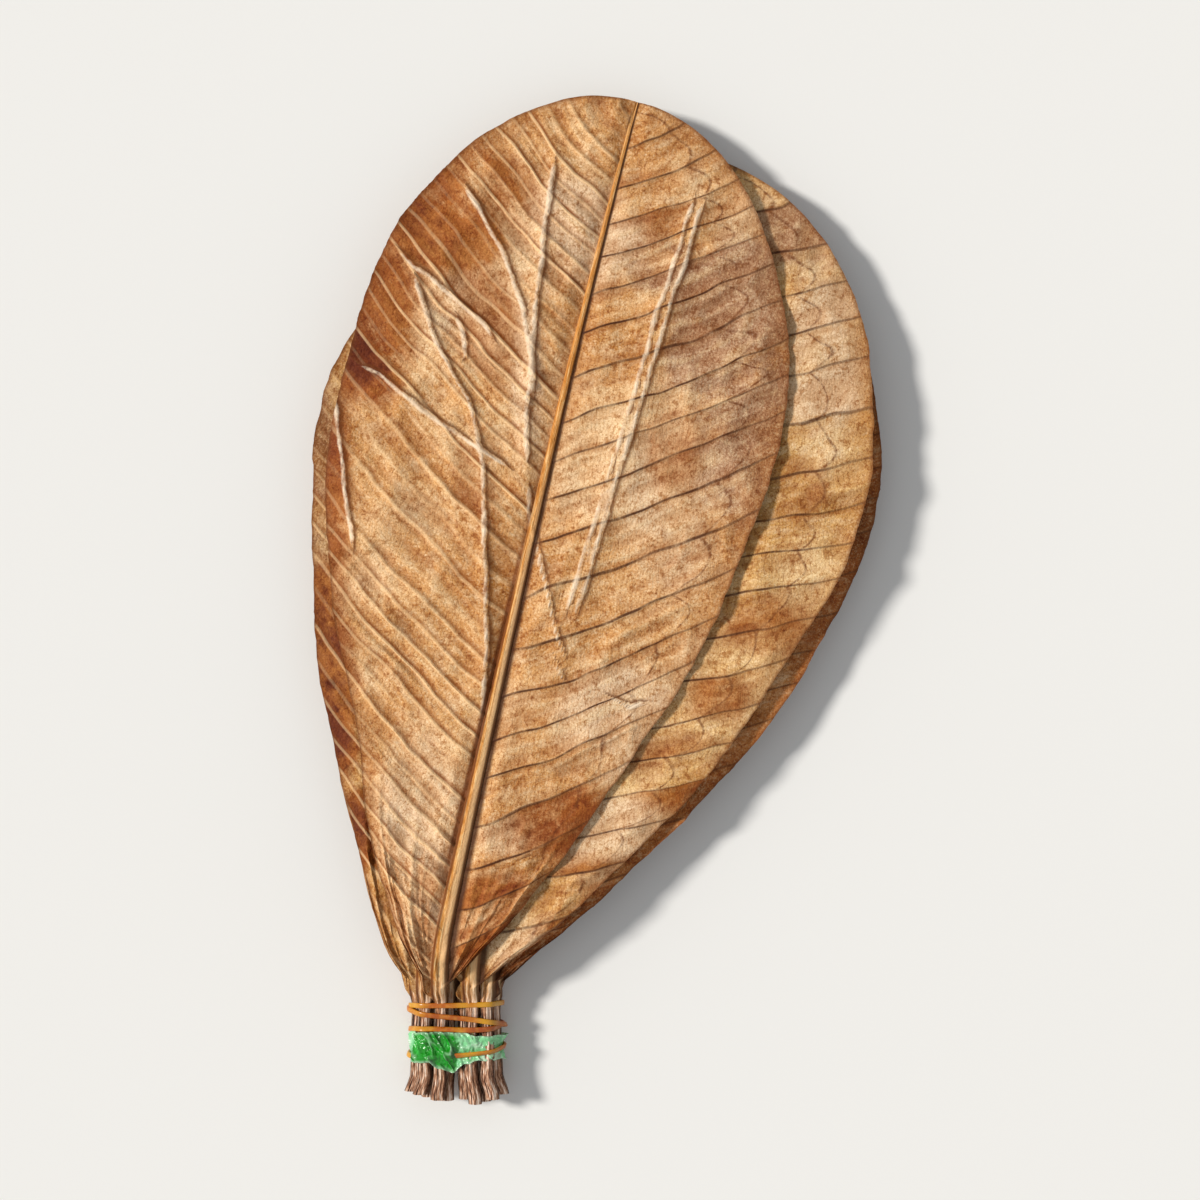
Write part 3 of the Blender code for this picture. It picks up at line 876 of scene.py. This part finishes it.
def side_veins(add, at, side, faintest):
    """On one side of a leaf, how far each place is beside the nearest side vein, in millimetres, how
    far apart they are, and how clear that vein is."""
    often = RIDGES[side]
    nearest = add("Math", weighed(add, (at.vein_count, often), (1, 0.5)), operation="FLOOR")
    beside = weighed(add, (at.vein_count, ACROSS_VEINS), (nearest, -ACROSS_VEINS / often))
    chance = add("TexWhiteNoise", W=nearest, noise_dimensions="1D")
    inner = add("MapRange", at.past_loops, 2.5, 0, 0.6, 1)
    clear = add("MapRange", at.blotches, 0.38, 0.56, 0.55, inner)
    clear = add("Math", add("MapRange", chance, 0, 1, faintest, 1), clear, operation="MULTIPLY")
    return SimpleNamespace(
        beside=beside,
        apart=add("Math", beside, operation="ABSOLUTE"),
        clear=add("MapRange", at.from_rib, -0.2 * side, 0.2 * side, 0, clear),
    )


def dried_skin(add, tone, at):
    """The underside between its veins: patches and blotches of its tone, streaks and stains, rubbed
    pale on its ridges and darkened with painted shade in its furrows."""
    dark, middle, pale = TONES[tone]
    # stains are ragged, and often end at a vein
    uneven = (at.broad, 1.3), (at.blotches, 1.2), (at.streaks, 0.8), (at.chance, 1.1), (1, -2.2)
    ragged = weighed(add, *uneven)
    brown, mauve, bleached = (
        add("Math", ragged, stain, stain, operation="MULTIPLY_ADD")
        for stain in (at.brown, at.mauve, at.bleached)
    )
    rim = weighed(add, (at.from_edge, 1), (at.broad, 30), (at.cells, 8), (1, -19))
    colour = painted(add, linear(dark), (
        (at.broad, 0.38, 0.5, 1, middle),
        (at.broad, 0.5, 0.64, 0.9, pale),
        (at.chance, 0.4, 1, 0.3, "#CE8C48"),
        (at.blotches, 0.52, 0.64, 0.3, "#BE7C38"),
        (at.blotches, 0.47, 0.36, 0.4, pale),
        (at.streaks, 0.52, 0.64, 0.3, "#B87634"),
        (at.streaks, 0.46, 0.34, 0.45, "#FCDCB0"),
        (mauve, 0.2, 0.6, 0.75, "#B08468"),
        (rim, 4, -1, 0.4, "#B0702E"),
        (bleached, 0.1, 0.9, 0.7, "#FADDBA"),
        # ridges rubbed pale, following the relief
        (at.worn, 0.1, 0.75, 0.5, "#FFDDAA"),
        (at.cells, 0.45, 0.35, 0.5, "#FFDFB0"),
        (at.grains, 0.45, 0.37, 0.42, "#FFE6C0"),
    ))
    return painted(add, colour, (
        # painted shade: darker in the furrows, following the relief
        (at.worn, -0.05, -0.5, 0.5, "#C9A882"),
        (at.cells, 0.53, 0.62, 0.8, "#C8A67E"),
        (at.grains, 0.55, 0.63, 0.8, "#C4A278"),
        (at.net, 0.2, 0.02, 0.35, "#C8A880"),
        (at.rung, 0.12, 0.03, add("MapRange", at.cells, 0.4, 0.55, 0.1, 0.5), "#C09A6C"),
        (brown, 0.15, 0.7, 0.95, "#BC8A4C"),
        (brown, 1, 1.5, 0.85, "#A47040"),
    ), blend="MULTIPLY")


def with_veins(add, colour, at):
    """That skin with its veins and their loops, its dark rim, and its creases with a painted highlight
    along each crest and painted shade on the side away from the light. Veins on the left are pale with
    painted shade on their side away from the light, and those on the right are dark lines."""
    left, right = at.left, at.right
    loop = add("Math", at.past_loops, operation="ABSOLUTE")
    loop_clear = add("MapRange", at.cells, 0.4, 0.56, 0.2, 0.7)
    # which side of a crease lies away from the light, for its painted shade
    crease_shade_side = add("Math", at.near_crease, at.crease_side, operation="MULTIPLY")
    return painted(add, colour, (
        (loop, 0.42, 0.12, add("MapRange", at.from_rib, -0.2, 0.2, 0.1, loop_clear), "#6A3410"),
        (right.apart, 1.5, 0.4, weighed(add, (right.clear, 0.3)), "#9A6230"),
        (right.apart, 0.44, 0.18, right.clear, "#4A2206"),
        # painted shade on the side of each left vein away from the light
        (left.beside, 1.7, 0.9, add("MapRange", left.beside, 0.25, 0.6, 0, left.clear), "#8A4814"),
        (left.apart, 0.6, 0.25, left.clear, "#FBD09A"),
        (at.from_edge, 0.9, 0.2, 0.6, "#6E3A14"),
        # painted highlight along each crease's crest
        (at.near_crease, 0.8, 0.25, add("MapRange", at.streaks, 0.4, 0.6, 0.5, 0.9), "#FFE6C6"),
        # painted shade on each crease's side away from the light
        (crease_shade_side, 0.7, 0.95, add("MapRange", at.near_crease, 2.1, 1.2, 0, 0.75), "#6A360E"),
    ))


def with_midrib(add, colour, at):
    """That blade with its fibrous midrib, with painted shade beside it, and its dark stalk with
    painted shade at its sides.
    """
    low_down = add("MapRange", at.share, 0.62, 0.42, 0, 0.9)
    above_base = add("MapRange", at.share, 0.08, 0.16, 0, low_down)
    left_low = add("MapRange", at.from_rib, 0, -0.3, 0, above_base)
    # painted shade on the rib's right flank, away from the light
    right_flank_shade = add("MapRange", at.from_rib, 0, 0.3, 0, 0.9)
    off_rib = add("Math", at.from_rib, operation="ABSOLUTE")
    stalk = painted(add, linear("#1C0C04"), (
        (at.fibres, 0.39, 0.46, 1, "#84543A"),
        (at.fibres, 0.46, 0.53, 1, "#CC9C7A"),
        (at.fibres, 0.53, 0.61, 1, "#FCE6D2"),
        # painted shade at the stalk's sides, in the gaps where the stalks shade each other
        (off_rib, 0.7, 1, 0.9, "#1C0C04"),
    ))
    rib = painted(add, linear("#8F5016"), (
        (at.fibres, 0.32, 0.5, 1, "#D89040"),
        (at.fibres, 0.5, 0.62, 1, "#F8CE90"),
        (at.from_rib, -0.5, 0.3, weighed(add, (low_down, 0.7)), "#F4CC98"),
        (at.from_rib, -0.7, -1.0, low_down, "#6A3208"),
        # painted shade on the rib's right flank
        (at.from_rib, 0.75, 1.1, 0.85, "#5E2E0A"),
        (at.share, 0.02, -0.03, 1, stalk),
    ))
    return painted(add, colour, (
        # painted shade in the grooves beside the rib, a darker band left of it lower down, and painted
        # shade on its right flank
        (off_rib, 3, 1.4, 0.3, "#8A5020"),
        (off_rib, 2.7, 2.1, left_low, "#6A3208"),
        (off_rib, 2.8, 2.1, right_flank_shade, "#3E1C04"),
        (off_rib, 1.5, 1.25, 1, rib),
    ))


def dried_leaf_underside(tone):
    """Dried magnolia leaf, its veined underside: pale, mottled and waxy. Side veins stand up from it,
    with a ladder of cross veins and a net of fine ones between them."""
    made, add = new_material(f"dried_leaf_underside_{tone}")
    at = SimpleNamespace(**{key: add("Attribute", attribute_name=key, gives="Fac") for key in POINT_VALUES})
    add_patterns(add, at)
    at.left, at.right = side_veins(add, at, LEFT, 0.1), side_veins(add, at, RIGHT, 0.8)
    colour = with_midrib(add, with_veins(add, dried_skin(add, tone, at), at), at)
    ridges = add("MapRange", at.near_crease, 0.9, 0, 0, 1)
    threads = add("MapRange", at.left.apart, 0.6, 0, ridges, at.left.clear)
    skin = (at.cells, 1.4), (at.grains, 0.6), (at.rung, 0.4), (at.net, -0.6), (at.fibres, 0.8)
    dents = weighed(add, *skin, (threads, 1.6))
    roughness = add("MapRange", at.cells, 0.35, 0.65, 0.52, 0.75)
    finish(add, dents, 0.2, Base_Color=colour, Roughness=roughness, Specular_IOR_Level=0.2)
    return made


def dried_leaf_upper_side():
    """Dried magnolia leaf, its leathery upper side: darker, smoother and glossier, its veins sunk."""
    made, add = new_material("dried_leaf_upper_side")
    place = add("TexCoord", gives="Object")
    count, out, past_loops, edge, from_rib = (
        add("Attribute", attribute_name=key, gives="Fac") for key in POINT_VALUES[:5]
    )
    broad, blotches, cells = (
        add("TexNoise", place, Scale=scale_of(size), Detail=detail, Roughness=roughness)
        for size, detail, roughness in ((41.7, 5, 0.6), (7.14, 4, 0.6), (1.61, 5, 0.7))
    )
    # the fine net, drawn at 1.2 mm so that it shows
    net = add("TexVoronoi", place, Scale=scale_of(1.176), feature="DISTANCE_TO_EDGE")
    apart = add("Math", add("Math", count, 0.5, operation="PINGPONG"), ACROSS_VEINS, operation="MULTIPLY")
    off_rib = add("Math", from_rib, operation="ABSOLUTE")
    inner = add("MapRange", past_loops, 2.5, 0, 0.2, 0.7)
    # streaks along the side veins, 3 mm wide and 5 mm long
    streaks = add("TexNoise", add("CombineXYZ", count, weighed(add, (out, 0.05))), Scale=4)
    colour = painted(add, linear("#6A3A18"), (
        (broad, 0.4, 0.6, 1, "#A9652D"),
        (streaks, 0.5, 0.64, 0.5, "#C4843E"),
        (blotches, 0.48, 0.66, 0.6, "#4F2A12"),
        (cells, 0.5, 0.66, 0.5, "#C98B50"),
        (net, 0.18, 0.02, 0.35, "#B57C45"),
        (apart, 1.6, 0.4, 0.35, "#5A3015"),
        (apart, 0.5, 0.15, inner, "#D09A5C"),
        (edge, 1.3, 0.2, 1, "#5A3215"),
        (off_rib, 3, 1.4, 0.6, "#4A2810"),
        (off_rib, 1.3, 0.9, 0.9, "#C48C50"),
    ))
    dents = weighed(add, (cells, 0.8), (net, 0.6), (add("MapRange", apart, 0.6, 0.1, 0, inner), -1))
    finish(add, dents, 0.15, Base_Color=colour, Roughness=0.34, Coat_Weight=0.2)
    return made


def cut_stalk():
    """The cut end of a dry stalk: spongy pith, pale where it broke and dark where it shrank."""
    made, add = new_material("cut_stalk_pith")
    pores = add("TexNoise", add("TexCoord", gives="Object"), Scale=scale_of(0.667), Detail=4)
    colour = painted(add, linear("#4A3316"), ((pores, 0.4, 0.6, 1, "#D8BB98"),))
    finish(add, pores, 0.3, Base_Color=colour, Roughness=0.85)
    return made


def rubber():
    """Amber natural rubber, cut from a moulded tube: waxy and a little see-through, faintly dusty."""
    made, add = new_material("amber_rubber")
    place = add("TexCoord", gives="Object")
    turn = add("Attribute", attribute_name="turn", gives="Fac")
    dust = add("TexNoise", place, Scale=scale_of(1.43), Detail=4)
    # it is stretched unevenly, in lengths of about 20 mm
    stretched = add("TexNoise", W=turn, Scale=3.1, Detail=2, noise_dimensions="1D")
    colour = painted(add, linear("#B45A00"), (
        (stretched, 0.5, 0.62, 0.8, "#D09A10"),
        (stretched, 0.48, 0.38, 0.8, "#923E00"),
        (dust, 0.45, 0.75, 0.45, "#E0A040"),
    ))
    soft = {"Subsurface_Weight": 0.1, "Subsurface_Radius": (1, 0.5, 0.2), "Subsurface_Scale": 0.0006}
    finish(add, dust, 0.1, Base_Color=colour, Roughness=0.28, IOR=1.52, **soft)
    return made


def film():
    """Thin green polyethylene strip, pulled and crumpled: glossy, deep green where it lies double
    and pale where it is single, with painted highlights along its folds."""
    made, add = new_material("green_polyethylene_film")
    place = add("TexCoord", gives="Object")
    turn, fold, level = (
        add("Attribute", attribute_name=key, gives="Fac") for key in ("turn", "fold", "level")
    )
    patches = add("TexNoise", place, Scale=scale_of(3.85), Detail=3)
    crinkles = add("TexNoise", place, Scale=scale_of(1.11), Detail=3, Roughness=0.6)
    ends = weighed(add, (turn, 1), (patches, 0.16), (1, -0.08))
    double = add("MapRange", ends, 1.25, 1.27, 0, 1)
    rims = add("Math", level, 0.5, operation="PINGPONG")
    colour = painted(add, linear("#93E8A4"), (
        (patches, 0.5, 0.64, 0.7, "#E6FBE4"),
        (double, 0, 1, 1, "#08A014"),
        (patches, 0.56, 0.66, weighed(add, (double, 0.8)), "#04580A"),
        (patches, 0.44, 0.36, weighed(add, (double, 0.7)), "#34CC44"),
        # painted highlights along the film's folds
        (fold, 0.7, 1, add("MapRange", patches, 0.42, 0.6, 0, 0.6), "#C4F6C8"),
        (rims, 0.1, 0.02, 0.6, "#CFF8D2"),
    ))
    finish(add, crinkles, 0.2, Base_Color=colour, Roughness=0.15, IOR=1.5, Transmission_Weight=0.25)
    return made


# Stage


def lay_backdrop():
    """Matt pale paper just under the bunch, so wide that its edges are out of sight."""
    bm = bmesh.new()
    bmesh.ops.create_grid(bm, x_segments=1, y_segments=1, size=FLOOR_HALF_SIDE)
    made, add = new_material("matt_paper_backdrop")
    add("OutputMaterial", add("BsdfPrincipled", Base_Color=linear("#EFEEEA"), Roughness=0.9))
    floor = add_mesh("floor", bm, [made])
    floor.location.z = -FLOOR_BELOW * MM


def light_evenly(scene):
    """A soft even fill. Where the sky is seen it is as bright as the backdrop, so that no horizon
    shows, and what falls on the leaves is weaker and cooler."""
    world = bpy.data.worlds.new("studio")
    add = node_adder(world)
    rays = ("Camera", "Glossy", "Transmission")
    seen = weighed(add, *((add("LightPath", gives=f"Is {ray} Ray"), 1) for ray in rays))
    sky = painted(add, linear("#F4F6FA"), ((seen, 0, 1, 1, "#F0EFEB"),))
    add("OutputWorld", add("Background", sky, add("MapRange", seen, 0, 1, FILL_STRENGTH, 1)))
    scene.world = world


def light_from_left(scene):
    """A soft, slightly warm key light."""
    light = bpy.data.lights.new("key", "SUN")
    light.energy = KEY_STRENGTH
    light.angle = math.radians(9)
    light.color = (1, 0.97, 0.93)
    key = bpy.data.objects.new("key", light)
    key.rotation_euler = TOWARD_LIGHT.to_track_quat("Z", "Y").to_euler()
    scene.collection.objects.link(key)


def look_down(scene):
    """A camera straight above the bunch, which fills most of its frame."""
    camera = bpy.data.cameras.new("camera")
    camera.lens = LENS
    looker = bpy.data.objects.new("camera", camera)
    low, high = cad_box
    frame_side = (high[1] - low[1]) / FILLS_FRAME
    height = frame_side * camera.lens / camera.sensor_width + high[2] / 2
    looker.location = ((low[0] + high[0]) / 2, (low[1] + high[1]) / 2, height)
    scene.collection.objects.link(looker)
    scene.camera = looker


def main():
    """Dresses every leaf and the tie, then sets the stage."""
    upper_side, pith = dried_leaf_upper_side(), cut_stalk()
    lay_all({tone: [dried_leaf_underside(tone), upper_side, pith] for tone in TONES})
    wind_band(rubber())
    wrap_film(film())
    scene = bpy.context.scene
    scene.view_settings.view_transform = "Standard"
    lay_backdrop()
    light_evenly(scene)
    light_from_left(scene)
    look_down(scene)


main()
